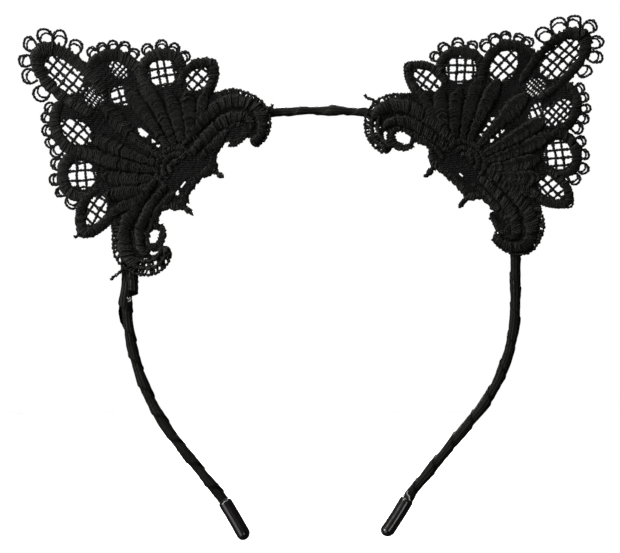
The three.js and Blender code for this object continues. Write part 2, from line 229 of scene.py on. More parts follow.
# The lap below the left ear: a wide turn that stands out of the hoop, and a tight one inside it.
LAPS = [
    {"start": -116.5, "end": -102, "pitch": 9, "width": 9, "rise": 0.2, "cloth": 0.16, "base": 0.3,
     "aside": [(-121, 0.1), (-119.4, 0.8), (-116.5, 1.15), (-112, 0.6), (-108, 0.05), (-103, -0.2)]},
    {"start": -108.7, "end": -98, "pitch": 4.2, "width": 5, "rise": 0.25, "cloth": 0.16, "base": 0.4,
     "aside": [(-111.2, -0.2), (-110.4, -1.1), (-109.4, -1.7), (-108, -2), (-98, -1.8)]},
]
LASHING = {"turns": 3, "spacing": 0.45, "radius": 0.2, "clearance": 0.34}
# Pale glue that ran out, as (distance, across). The run's distances are from the right cap's mouth.
GLUE_RUN = [(-2.3, -1.5), (-1.5, -1.3), (-1.1, -0.6), (-0.9, 0.1), (-0.2, 0.5), (0.1, 1.1)]
GLUE_DAB = [(-110.8, -0.3), (-111.5, -0.8), (-110.9, -1.3), (-111.6, -1.7), (-112.2, -1.2), (-112.3, -0.6)]


class Shape:
    """Collects the points, faces and surface coordinates of one piece."""

    def __init__(self):
        self.points = []
        self.faces = []
        self.uv = []
        self.count = 0

    def add(self, points, faces, uv):
        """Adds points and the faces between them."""
        self.faces += [[corner + self.count for corner in face] for face in faces]
        self.points.append(points)
        self.uv.append(uv)
        self.count += len(points)

    def grid(self, points, uv, closed_rows=False):
        """Adds rows of points, each row a closed ring, with flat ends unless the rows close."""
        rows, columns, _ = points.shape
        index = np.arange(rows * columns).reshape(rows, columns)
        after = np.roll(index, -1, axis=0) if closed_rows else index[1:]
        before = index if closed_rows else index[:-1]
        quads = np.stack([before, np.roll(before, -1, axis=1), np.roll(after, -1, axis=1), after], axis=-1)
        faces = quads.reshape(-1, 4).tolist()
        if not closed_rows:
            faces += [index[0][::-1].tolist(), index[-1].tolist()]
        self.add(points.reshape(-1, 3), faces, uv.reshape(-1, 2))

    def piece(self, name, material, slot):
        """Makes the Blender object."""
        points = np.concatenate(self.points) * METRES
        uv = np.concatenate(self.uv)
        mesh = bpy.data.meshes.new(name)
        mesh.from_pydata(points.tolist(), [], self.faces)
        layer = mesh.uv_layers.new(name="Surface")
        corners = np.zeros(len(mesh.loops), int)
        mesh.loops.foreach_get("vertex_index", corners)
        layer.data.foreach_set("uv", uv[corners].ravel())
        mesh.polygons.foreach_set("use_smooth", [True] * len(mesh.polygons))
        mesh.materials.append(material)
        mesh.validate()
        outward_faces(mesh)
        piece = put(name, mesh)
        return piece


def put(name, data):
    """Puts new data in the scene as an object."""
    made = bpy.data.objects.new(name, data)
    bpy.context.scene.collection.objects.link(made)
    return made


def outward_faces(mesh):
    """Turns every face outwards."""
    edit = bmesh.new()
    edit.from_mesh(mesh)
    bmesh.ops.recalc_face_normals(edit, faces=edit.faces)
    edit.to_mesh(mesh)
    edit.free()


# ---- curves

def full_turn(count):
    """Even angles round a circle."""
    return np.linspace(0, 2 * math.pi, count, endpoint=False)


def squared(value, power):
    """A sine or cosine made squarer, for a rounded oblong section."""
    return np.sign(value) * np.abs(value) ** power


def catmull_rom(points, per_span=16, closed=False):
    """A smooth curve through the points, which may carry further values such as a width."""
    p = np.asarray(points, float)
    if closed:
        p = np.vstack([p[-1:], p, p[:2]])
    else:
        p = np.vstack([2 * p[0] - p[1], p, 2 * p[-1] - p[-2]])
    t = np.linspace(0, 1, per_span, endpoint=False)[:, None]
    out = []
    for i in range(len(p) - 3):
        a, b, c, d = p[i:i + 4]
        out.append(0.5 * (2 * b + (c - a) * t + (2 * a - 5 * b + 4 * c - d) * t ** 2
                          + (3 * b - a - 3 * c + d) * t ** 3))
    if not closed:
        out.append(p[-2:-1])
    return np.vstack(out)


def travel(path):
    """How far along a path each of its points is."""
    return np.concatenate([[0], np.cumsum(np.linalg.norm(np.diff(path, axis=0), axis=1))])


def even_steps(curve, step, closed=False, multiple=1):
    """Resamples a curve at even steps along its first two values. Returns it with the distances."""
    if closed:
        curve = np.vstack([curve, curve[:1]])
    travelled = travel(curve[:, :2])
    count = max(multiple * 2, int(round(travelled[-1] / step / multiple)) * multiple)
    wanted = np.linspace(0, travelled[-1], count + (not closed), endpoint=not closed)
    return np.column_stack([np.interp(wanted, travelled, column) for column in curve.T]), wanted


def directions(path, closed=False):
    """Unit tangents of a path."""
    if closed:
        tangent = np.roll(path, -1, axis=0) - np.roll(path, 1, axis=0)
    else:
        tangent = np.gradient(path, axis=0)
    return tangent / np.maximum(np.linalg.norm(tangent, axis=1, keepdims=True), 1e-9)


def left_of(path, closed=False):
    """Unit vectors to the left of a path in the ear's plan and along it."""
    along = directions(path[:, :2], closed)
    return np.column_stack([-along[:, 1], along[:, 0]]), along


def oval_band(centre, radii, width, angles):
    """The points of a band round an ellipse or a part of one."""
    u, v = centre
    return [(u + radii[0] * math.cos(t), v + radii[1] * math.sin(t), width) for t in angles]


def in_ellipse(u, v, centre, radii, turn=0):
    """How far out each point is in an ellipse: below 1 is inside."""
    c, s = math.cos(math.radians(turn)), math.sin(math.radians(turn))
    du, dv = u - centre[0], v - centre[1]
    along, across = du * c + dv * s, dv * c - du * s
    return np.hypot(along / radii[0], across / radii[1])


def in_outline(u, v, outline):
    """Which points lie in a closed outline."""
    inside = np.zeros(u.shape, bool)
    for (u0, v0), (u1, v1) in zip(outline, np.roll(outline, -1, axis=0)):
        crosses = (v0 > v) != (v1 > v)
        inside ^= crosses & (u < (u1 - u0) * (v - v0) / (v1 - v0 or 1) + u0)
    return inside


# ---- the hoop

def run_length(run):
    """How long a straight run or a bend is."""
    return run[1] if run[0] == "straight" else run[1] * math.radians(abs(run[2]))


def hoop_point(distance):
    """(x, z, heading) on the hoop's centre line. Distance is negative down the left side."""
    side = SIDES["left"] if distance < 0 else SIDES["right"]
    left = abs(distance)
    x, z, heading = 0.0, WRAP["thick"] / 2, 0.0
    for run in UPPER_RUN + side["arm_run"]:
        step = min(left, run_length(run))
        if run[0] == "straight":
            x += step * math.cos(heading)
            z += step * math.sin(heading)
        else:
            bend = math.copysign(run[1], run[2])
            after = heading - step / bend
            x += bend * (math.sin(heading) - math.sin(after))
            z += bend * (math.cos(after) - math.cos(heading))
            heading = after
        left -= step
    x += left * math.cos(heading)
    z += left * math.sin(heading)
    way = side["way"]
    return way * x, z, heading if way > 0 else math.pi - heading


def mouth_distance(side):
    """How far down its side of the hoop a cap's mouth is."""
    return sum(run_length(run) for run in UPPER_RUN + side["arm_run"])


def on_hoop(distance, across, deep):
    """A point beside the hoop's centre line. Across points out of the hoop, deep is along Y."""
    x, z, heading = hoop_point(distance)
    way = -1 if distance < 0 else 1
    return np.array([x - way * across * math.sin(heading), deep, z + way * across * math.cos(heading)])


def hoop_direction(distance):
    """The direction in which the hoop runs."""
    heading = hoop_point(distance)[2]
    return math.cos(heading), 0, math.sin(heading)


def wrap_section(angle, swell):
    """A point of the wound strip's rounded oblong section, as (across, deep)."""
    squareness = 0.72
    across = squared(math.cos(angle), squareness) * (WRAP["thick"] / 2 + swell)
    deep = squared(math.sin(angle), squareness) * (WRAP["deep"] / 2 + swell)
    return across, deep


# ---- the ears

class Ear:
    """Places the ear's own plan in the frame, worked out from its bend joint. Its lace is the piece
    being sewn."""

    def __init__(self, name):
        joint = next(j for j in frame["joints"] if j["name"] == f"{name}_ear_bend")
        self.name = name
        self.way = SIDES[name]["way"]
        self.shape = EARS[name]
        self.lace = None
        self.open_eye = self.shape["open_eye"]
        self.random = np.random.default_rng(self.shape["seed"])
        self.v_way = -self.way * np.array(joint["axis"], float)
        self.u_way = self.way * np.array([self.v_way[2], 0, -self.v_way[0]])
        self.origin = np.array(joint["pos_m"], float) / METRES - self.shape["shift"] * self.v_way
        self.origin -= BEND_AT * self.shape["stretch"] * self.u_way
        low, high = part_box(f"{name}_ear_lace_base")
        self.origin[1] = (low[1] + high[1]) / 2 / METRES

    def place(self, u, v, height):
        """Points in the frame. Height is towards the front from the lace's mid-plane."""
        u, v, height = np.broadcast_arrays(np.asarray(u, float), v, height)
        shape = self.shape
        lift = height + self.wave(u, v)
        pulls = [(np.exp(-np.hypot(u - cu, v - cv) ** 2 / reach ** 2), du, dv)
                 for cu, cv, reach, du, dv in PULLS[self.name]]
        u = u + sum(weight * du for weight, du, dv in pulls)
        v = v + sum(weight * dv for weight, du, dv in pulls)
        out, inside = np.maximum(u, 0), np.minimum(u, 0)
        along = shape["stretch"] * (out + shape["inner"] * inside) + shape["skew"] * v
        across = v + shape["shift"] + shape["lean"] * (out / 60) ** 2 + INNER_SWAY * inside
        points = self.origin + along[..., None] * self.u_way + across[..., None] * self.v_way
        points[..., 1] -= lift
        return points

    def wave(self, u, v):
        """How the lace ripples out of its plane, more towards its free edges."""
        free = np.clip((u - 4) / 50, 0, 1)
        ripple = np.sin(0.16 * v + 0.09 * u + self.way) + 0.6 * np.sin(0.23 * u - 0.11 * v)
        return free * (0.9 * ripple + 0.5) + 0.12 * np.sin(0.5 * u + 0.4 * v)


def mirrored(points):
    """The same points on the other side of the ear's axis."""
    return [(point[0], -point[1], *point[2:]) for point in points]


def satin_band(ear, points, height, slant, vein=0.0, level=0.0, closed=False):
    """A band of satin stitch: threads laid side by side across it, raised on both faces."""
    pitch, per_thread, sides = 0.8, 4, 12
    relief, uneven_width, uneven_height, uneven_level = 0.42, 0.22, 0.2, 0.04
    curve = catmull_rom(points, closed=closed)
    path, distance = even_steps(curve, pitch / per_thread, closed, per_thread)
    left, tangent = left_of(path, closed)
    thread, phase = np.divmod(np.arange(len(path)), per_thread)
    rounding = np.sqrt(1 - (2 * phase / per_thread - 1) ** 2)[:, None]
    jitter = ear.random.normal(0, 1, (thread[-1] + 1, 3))[thread]
    half_width = path[:, 2] / 2 + uneven_width * jitter[:, 0]
    if not closed:
        end = np.minimum(distance, distance[-1] - distance)
        reach = np.maximum(path[:, 2] * 0.42, 0.3)
        half_width = half_width * np.sqrt(np.clip(end / reach, 0.02, 1))
    half_width = np.maximum(half_width, 0.12)
    crest = np.minimum(height * (1 + uneven_height * jitter[:, 1]), 0.35 + half_width * 0.6)
    c, s = np.cos(full_turn(sides)), np.sin(full_turn(sides))
    across = half_width[:, None] * squared(c, 0.8) * (1 + 0.05 * (rounding - 1))
    dome = crest[:, None] * squared(s, 0.75) * (1 - vein * np.exp(-(across / 0.55) ** 2))
    up = dome + relief * (rounding - 0.7) * s + level + uneven_level * jitter[:, 2:]
    turn = slant * across * (np.where(across > 0, 1, -1) if vein else 1)
    plan = path[:, None, :2] + left[:, None] * across[..., None] - tangent[:, None] * turn[..., None]
    uv = np.stack(np.broadcast_arrays(across, distance[:, None]), axis=-1)
    ear.lace.grid(ear.place(plan[..., 0], plan[..., 1], up), uv, closed)


def tube(shape, path, radius, binormal, sides=6, closed=False):
    """A round thread along a path in the frame. The binormal is a direction it never runs along."""
    path = np.asarray(path, float)
    tangent = directions(path, closed)
    normal = np.cross(tangent, binormal)
    normal /= np.maximum(np.linalg.norm(normal, axis=1, keepdims=True), 1e-9)
    second = np.cross(normal, tangent)
    c, s = np.cos(full_turn(sides)), np.sin(full_turn(sides))
    ring = c[:, None] * normal[:, None] + s[:, None] * second[:, None]
    radius = np.broadcast_to(radius, len(path))[:, None, None]
    travelled = travel(path)
    uv = np.stack(np.broadcast_arrays(c * 0.3, travelled[:, None]), axis=-1)
    shape.grid(path[:, None] + radius * ring, uv, closed)


def ear_thread(ear, points, radius, bead, pitch, height=0.0, sway=0.0):
    """One thread of the lace through points of its plan, beaded where stitches knot it."""
    path, distance = even_steps(catmull_rom(points, 10), min(0.42, pitch / 3))
    left, _ = left_of(path)
    phase = 2 * math.pi * distance / pitch
    plan = path[:, :2] + left * sway * np.sin(phase / 2.1)[:, None]
    rise = height + 0.5 * sway * np.cos(phase / 2.1)
    tube(ear.lace, ear.place(*plan.T, rise), radius * (1 + bead * np.cos(phase)), (0, 1, 0))


def twisted_pair(ear, points, radius, apart, height=0.0):
    """Two threads that wind round each other, parting a little here and there."""
    path, distance = even_steps(catmull_rom(points, 10), 0.36)
    left, _ = left_of(path)
    start = ear.random.uniform(0, 2 * math.pi)
    parting = 1 + 1.5 * np.maximum(0, np.sin(distance * 0.9 + start)) ** 6
    turn = 2 * math.pi * distance / 2.4 + start
    lump = radius * (1 + 0.16 * np.cos(2 * math.pi * distance / 0.9 + start))
    for opposite in (apart, -apart):
        plan = path + left * (opposite * parting * np.sin(turn))[:, None]
        tube(ear.lace, ear.place(*plan.T, height + opposite * np.cos(turn)), lump, (0, 1, 0))


def net(ear, window):
    """The crossed threads in one see-through window, reaching under its border."""
    radii = [radius + 0.9 for radius in window.radii]
    reach = max(window.radii) + 1.5
    t = np.linspace(-reach, reach, 80)[:, None]
    for family, pitch in enumerate(window.pitch):
        turned = math.radians(window.turn + window.net) + family * math.pi / 2
        along = np.array([math.cos(turned), math.sin(turned)])
        aside = np.array([-along[1], along[0]])
        thread = CLOSE_NET_THREAD if pitch < CLOSE_PITCH else NET_THREAD
        lines = int(2 * reach / pitch)
        for i in range(lines):
            offset = (i - (lines - 1) / 2) * pitch + ear.random.uniform(-0.12, 0.12) * pitch
            line = window.centre + offset * aside + t * along
            inside = line[in_ellipse(*line.T, window.centre, radii, window.turn) < 1]
            if len(inside) < FEWEST_STEPS:
                continue
            knots = inside[np.linspace(0, len(inside) - 1, 5).astype(int)]
            knots[1:4] += ear.random.normal(0, 0.14, (3, 2))
            twisted_pair(ear, knots, **thread, height=0.1 * (family - 0.5))


def picot(ear, loop, petal):
    """One edge loop: a horseshoe of twin threads, with a shallow arc across it."""
    centre = np.array(loop[:2]) + ear.random.normal(0, 0.2, 2)
    radius = loop[2] * (1 + ear.random.normal(0, 0.07))
    out = centre - np.array(petal)
    heading = math.atan2(out[1], out[0]) + ear.random.normal(0, 0.12)

    def around(degrees, share):
        turned = heading + math.radians(degrees)
        uneven = share * radius * (1 + ear.random.normal(0, 0.07))
        return centre + uneven * np.array([math.cos(turned), math.sin(turned)])

    outer = [around(-162, 1.5), around(-118, 1.06), around(-70, 1), around(-24, 1), around(24, 1),
             around(70, 1), around(118, 1.06), around(162, 1.5)]
    twisted_pair(ear, outer, 0.34, 0.16)
    inner = [around(-112, 1.12), around(-62, 0.5), around(0, 0.28), around(62, 0.5), around(112, 1.12)]
    twisted_pair(ear, inner, 0.27, 0.13)


def tie_row(ear, inner, outer, pitch, radius):
    """Short ties between two edges, with tiny holes between them."""
    a, _ = even_steps(catmull_rom(inner), pitch)
    b, _ = even_steps(catmull_rom(outer), pitch)
    count = min(len(a), len(b))
    for share in np.linspace(0.02, 0.98, count):
        share = min(max(share + ear.random.normal(0, 0.3) / count, 0), 1)
        start = a[int(share * (len(a) - 1))][:2]
        end = b[int(share * (len(b) - 1))][:2]
        middle = (start + end) / 2 + ear.random.normal(0, 0.15, 2)
        ear_thread(ear, [start, middle, end], radius * ear.random.uniform(0.8, 1.35), 0.2, 0.8)


def both_sides(points):
    """The points and their mirror twins."""
    return points, mirrored(points)


def folded(ear, points):
    """The right ear's lower scroll is turned under, which draws it in."""
    if ear.name == "left" or points[-1][1] > 0:
        return points
    fold_at, drawn = -9, 0.8
    return [(fold_at + (p[0] - fold_at) * drawn if p[0] < fold_at else p[0], *p[1:]) for p in points]


def openings(ear):
    """The windows of one ear, both halves, and its netted patches."""
    found = []
    for name, window in WINDOWS.items():
        found.append(window)
        if name != "tip":
            u, v = window.centre
            found.append(window._replace(centre=(u, -v), turn=-window.turn, net=-window.net))
    u, v = WINDOWS["upper"].centre
    found = [window for window in found if window.centre != (u, -ear.way * v)]
    found.append(CLOSE_WINDOWS[ear.name])
    wide = ear.shape["window"]
    found = [window._replace(radii=[radius * wide for radius in window.radii]) for window in found]
    return found + NET_PATCHES[ear.name]


def ear_borders(ear):
    """The satin-stitched rims of the petals."""
    narrow = ear.shape["border"]
    tip = TIP_BORDER + mirrored(TIP_BORDER[:-1])[::-1]
    satin_band(ear, [(u, v, w * narrow) for u, v, w in tip], 0.74, 0.1)
    for border in BORDERS.values():
        for points in both_sides([(u, v, w * narrow) for u, v, w in border]):
            satin_band(ear, points, 0.68, 0.18 * ear.way)
    for points in both_sides(SIDE_EDGE):
        ear_thread(ear, points, 0.42, 0.36, 1.2)


def ear_leaves(ear):
    """The leaves of the fan. The left ear's middle leaf is drawn off its axis and leaves a gap."""
    shift = -1.3 if ear.name == "left" else 0
    middle = [(u, v + shift * math.sin(math.pi * min(u, 24) / 24), w) for u, v, w in CENTRAL_LEAF]
    satin_band(ear, middle, 1.0, 0.55, vein=0.4)
    for leaf in LEAVES:
        for points in both_sides(leaf):
            satin_band(ear, points, 1.1, 0.5, vein=0.45, level=0.1)


def ear_hub(ear):
    """The boss at the middle of the inner edge, the wings beside it, the rim and its two spikes."""
    angles = np.radians(np.linspace(-100, 100, 7))
    for radius in BOSS["radii"]:
        arc = oval_band(BOSS["centre"], (radius, 1.25 * radius), BOSS["width"], angles)
        satin_band(ear, arc, 0.66, 0.25, level=0.05)
    for points in both_sides(HUB_WING):
        satin_band(ear, points, 0.7, 0.3)
    satin_band(ear, RIM + mirrored(RIM[:-1])[::-1], 0.5, 0.15)
    for points in both_sides(SPIKE):
        satin_band(ear, points, 0.55, 0.2)


def ear_scrolls(ear):
    """The two scrolls that reach along the hoop, with their eyes and edge cords. One is shut."""
    for mirror in (False, True):
        def half(points):
            return folded(ear, mirrored(points) if mirror else points)
        shut = mirror != (ear.open_eye < 0)
        body, inner = (SCROLL_BODY, INNER_SCROLL) if shut else (SCROLL_BODY[:7], INNER_SCROLL[:6])
        satin_band(ear, half(body), 1.0, 0.24, level=0.05)
        satin_band(ear, half(inner), 0.9, 0.24)
        if not shut:
            cords = [half(cord) for cord in CURL_CORDS]
            for cord in cords:
                ear_thread(ear, cord, 0.85, 0.2, 1.1, height=0.2, sway=0.15)
            tie_row(ear, *cords, 1.15, 0.5)
            satin_band(ear, half(CURL_END), 0.8, 0.2)
        ring = oval_band(EYE["centre"], EYE["radii"], EYE["width"], full_turn(10))
        satin_band(ear, half(ring), 0.5, 0, closed=True)
        ear_thread(ear, half(SCROLL_EDGE), 0.5, 0.42, 1.3, sway=0.12)
        pitch, radius = (0.9, 0.55) if shut else (1.1, 0.47)
        tie_row(ear, half(SCROLL_BODY[3:]), half(SCROLL_EDGE), pitch, radius)
        ear_thread(ear, half(LOBE_EDGE), 0.6, 0.35, 1.2, sway=0.1)


def ear_spurs(ear):
    """The loose thread ends, each with a finer strand beside it."""
    for points in SPURS[ear.name]:
        ear_thread(ear, points, 0.45, 0.3, 0.9, sway=0.12)
        strand = [(u + 0.35, v + 0.1) for u, v in points]
        ear_thread(ear, strand, 0.2, 0.2, 0.7, height=0.2, sway=0.15)


def ear_net(ear):
    """The nets in every window and patch."""
    for window in openings(ear):
        net(ear, window)


def ear_picots(ear):
    """The thread loops along the outer edges."""
    for petal, row in PICOT_ROWS.items():
        u, v = WINDOWS[petal].centre
        for loop in row:
            picot(ear, loop, (u, v))
            if loop[1]:
                picot(ear, *mirrored([loop]), (u, -v))


def ear_ground(ear):
    """The close stitching behind the leaves, cut away at the windows and gaps."""
    cell = 0.5
    outline = np.array(GROUND_OUTLINE + folded(ear, mirrored(GROUND_OUTLINE[1:-1]))[::-1])
    u, v = np.meshgrid(np.arange(-23, 42, cell), np.arange(-39, 39 + cell, cell), indexing="ij")
    middle = u[:-1, :-1] + cell / 2, v[:-1, :-1] + cell / 2
    keep = in_outline(*middle, outline)
    for window in openings(ear):
        keep &= in_ellipse(*middle, window.centre, window.radii, window.turn) > 1
    for *centre, along, across in GAPS[ear.name]:
        keep &= in_ellipse(*middle, centre, (along, across)) > 1
    eye = in_ellipse(*middle, (EYE["centre"][0], ear.open_eye * EYE["centre"][1]), EYE["radii"])
    by_curl = ear.open_eye * middle[1] > 22
    keep &= (eye > 0.85) & ~(by_curl & (eye > 2.35) & (middle[0] < -13.5))
    keep &= ~(by_curl & (eye > 1.5) & (eye < 1.75) & (middle[0] < -14))
    rows = 0.5 + 0.5 * np.sin(44 * np.arctan2(v, u + 14))
    knots = 0.5 + 0.5 * np.sin(3.4 * np.hypot(u + 14, v))
    thick = 0.24 + 0.24 * rows * knots + 0.16 * ear.random.random(u.shape)
    kept = np.pad(keep, 1)
    used = kept[:-1, :-1] | kept[1:, :-1] | kept[:-1, 1:] | kept[1:, 1:]
    total = used.sum()
    number = np.zeros(u.shape, int)
    number[used] = np.arange(total)
    faces = []
    for i, j in np.argwhere(keep):
        a, b, c, d = number[i, j], number[i + 1, j], number[i + 1, j + 1], number[i, j + 1]
        faces += [[a, b, c, d], [d + total, c + total, b + total, a + total]]
        for p, q, beside_i, beside_j in ((a, d, 0, 1), (c, b, 2, 1), (b, a, 1, 0), (d, c, 1, 2)):
            if not kept[i + beside_i, j + beside_j]:
                faces.append([p, q, q + total, p + total])
    u, v, thick = u[used], v[used], thick[used]
    plan = np.column_stack([u, v])
    points = np.vstack([ear.place(u, v, thick), ear.place(u, v, -thick)])
    ear.lace.add(points, faces, np.vstack([plan, plan]))


# ---- the hoop's pieces

def lumps(distance, angle):
    """How the winding bulges and creases."""
    slow = 0.11 * math.sin(0.43 * distance + 1.1 * math.sin(angle))
    crease = 0.05 * math.sin(1.9 * distance + 3 * angle) + 0.035 * math.sin(3.3 * distance - 5 * angle + 1)
    return slow + crease


def wound_ribbon(start, end, pitch, width, rise, cloth, base=0.0, aside=None, limits=None, shape=None):
    """Ribbon wound round the hoop between two distances of its middle, each turn lapping the last. Base
    lifts all of it, aside lists how far out of the hoop it stands at some distances, limits cut it
    square, and shape is what it is added to."""
    around, across = 30, 11
    rows = max(8, int(round((end - start) / pitch * around)))
    shape = shape or Shape()
    points = np.zeros((rows + 1, 2 * across, 3))
    uv = np.zeros((rows + 1, 2 * across, 2))
    girth = math.pi * (WRAP["thick"] + WRAP["deep"]) / 2
    for i in range(rows + 1):
        middle = start + (end - start) * i / rows
        angle = 2 * math.pi * middle / pitch
        for j, b in enumerate(np.linspace(0, 1, across)):
            distance = middle + (b - 0.5) * width
            if limits:
                distance = min(max(distance, limits[0]), limits[1])
            thin = np.interp(abs(distance), (CROWN["from"], CROWN["to"]), (1, 0))
            out = np.interp(distance, *zip(*aside)) if aside else CROWN["drop"] * thin
            curl = 0.1 * (2 * b - 1) ** 8
            bump = math.exp(-((distance - CROWN["bump_at"]) / 3) ** 2)
            lift = base + rise * (1 - b) + lumps(distance, angle) + curl - cloth
            lift -= CROWN["thinning"] * thin * (1 - bump)
            for layer, column in ((cloth, j), (0.0, 2 * across - 1 - j)):
                over, deep = wrap_section(angle, lift + layer)
                points[i, column] = on_hoop(distance, over + out, deep)
                uv[i, column] = (b * width, girth * angle / (2 * math.pi))
    shape.grid(points, uv)
    return shape


def hoop_ribbons(ribbon):
    """The long winding, in four lengths that meet edge to edge, and the lap below the left ear."""
    limits = (-mouth_distance(SIDES["left"]) - 1, mouth_distance(SIDES["right"]) + 1)
    for name, side in SIDES.items():
        way = side["way"]
        reach = mouth_distance(side) + RIBBON["width"] / 2
        shoulder, arm = f"{name}_shoulder", f"{name}_arm"
        lengths = {
            "upper": (0, RIBBON_SPLIT, "crown", shoulder, SHOULDER_BEND, ["crown", shoulder]),
            "lower": (RIBBON_SPLIT, reach, shoulder, arm, ARM_BEND, [arm]),
        }
        for place, (first, last, body, next_body, bend, sleeves) in lengths.items():
            shape = wound_ribbon(*sorted((way * first, way * last)), **RIBBON, limits=limits)
            piece = shape.piece(f"{name}_{place}_ribbon", ribbon, "satin_ribbon")
            start, end = [tuple(on_hoop(way * distance, 0, 0) * METRES) for distance in bend]
            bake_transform(piece)
            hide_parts(*[f"{sleeve}_ribbon" for sleeve in sleeves])
    laps = Shape()
    for lap in LAPS:
        wound_ribbon(**lap, shape=laps)
    piece = laps.piece("left_ribbon_lap", ribbon, "satin_ribbon")
    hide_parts("left_ribbon_binding")
    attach(piece, "left_shoulder")


def lashings(thread):
    """A few turns of thread at each stitch, round the hoop and through the lace."""
    random = np.random.default_rng(21)
    squareness = 0.5
    for name, side in SIDES.items():
        way = side["way"]
        low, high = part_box(f"{name}_ear_stitch_1")
        front, back = -low[1] / METRES - 0.85, high[1] / METRES - 0.35
        for i, place in enumerate(np.linspace(*side["stitches"], STITCH_COUNT)):
            shape = Shape()
            for turn in range(LASHING["turns"]):
                shift = (turn - 1) * LASHING["spacing"] + random.normal(0, 0.08)
                tilt = random.normal(0, 0.35)
                half = WRAP["thick"] / 2 + LASHING["clearance"] + random.uniform(0, 0.12)
                path = []
                for angle in full_turn(32):
                    over = squared(math.cos(angle), squareness) * half
                    deep = squared(math.sin(angle), squareness) * (back if angle < math.pi else front)
                    path.append(on_hoop(way * (place + shift + tilt * math.sin(angle)), over, deep))
                tube(shape, path, LASHING["radius"], hoop_direction(way * place), closed=True)
            piece = shape.piece(f"{name}_ear_lashing_{i + 1}", thread, "sewing_thread")
            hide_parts(f"{name}_ear_stitch_{i + 1}")
            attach(piece, f"{name}_shoulder")


def cap_profile(length):
    """A cap's outline, as (radius, distance from the mouth): the rolled lip, the wall and the dome."""
    lip, dome = 1.3, CAP_RADIUS
    profile = [(1.4, 0.9), (1.65, 0.35), (CAP_RADIUS - 0.6, 0)]
    profile += [(CAP_RADIUS - lip * (1 - math.sin(t)) * 0.5, lip * (1 - math.cos(t)))
                for t in np.linspace(0.25, math.pi / 2, 7)]
    profile += [(CAP_RADIUS * (1 - 0.012 * math.sin(math.pi * t)), lip + t * (length - dome - lip))
                for t in np.linspace(0.08, 1, 14)]
    profile += [(CAP_RADIUS * math.cos(t), length - dome * (1 - math.sin(t)))
                for t in np.linspace(0.1, math.pi / 2 - 0.04, 11)]
    return profile


def end_caps(plastic):
    """The moulded caps, with a rolled lip at the mouth and a domed end."""
    around = 56
    for name, side in SIDES.items():
        way = side["way"]
        length, bow = side["cap"]
        mouth = mouth_distance(side)
        profile = cap_profile(length)
        points = np.zeros((len(profile), around, 3))
        uv = np.zeros((len(profile), around, 2))
        for i, (radius, along) in enumerate(profile):
            for j, angle in enumerate(full_turn(around)):
                over = radius * math.cos(angle) - bow * (along / length) ** 2
                deep = radius * CAP_DEEPENING * math.sin(angle)
                points[i, j] = on_hoop(way * (mouth + along), over, deep)
                uv[i, j] = (over, along)
        shape = Shape()
        shape.grid(points, uv)
        piece = shape.piece(f"{name}_moulded_cap", plastic, "moulded_cap")
        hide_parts(f"{name}_end_cap")
        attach(piece, f"{name}_arm")


def glue_seams(seam):
    """A line of glue at each cap's mouth, coloured near-black as painted shade in the gap there."""
    for name, side in SIDES.items():
        way = side["way"]
        mouth = mouth_distance(side)
        angles = full_turn(40)
        along = mouth - 0.25 + 0.16 * np.sin(3 * angles)
        path = [on_hoop(way * a, *wrap_section(t, 0.1)) for a, t in zip(along, angles)]
        size = 0.14 + 0.05 * np.sin(5 * angles + way)
        shape = Shape()
        tube(shape, path, size, hoop_direction(way * mouth), 8, closed=True)
        piece = shape.piece(f"{name}_cap_glue", seam, "cap_glue")
        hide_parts(f"{name}_cap_glue_bead")
        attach(piece, f"{name}_arm")


def pale_glue(glue):
    """The glue that has run out of the right cap, and the dab below the left lap."""
    front = -WRAP["deep"] / 2 - 0.4
    mouth = mouth_distance(SIDES["right"])
    run = [(mouth + distance, across) for distance, across in GLUE_RUN]
    trails = {
        "right_glue_run": ("right_arm", 0.19, run),
        "left_lap_glue": ("left_shoulder", 0.2, GLUE_DAB),
    }
    for name, (body, radius, points) in trails.items():
        shape = Shape()
        path = [on_hoop(*place, front) for place in catmull_rom(points, 6)]
        tube(shape, path, radius, (0, 1, 0), 8)
        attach(shape.piece(name, glue, "cap_glue"), body)


# ---- materials

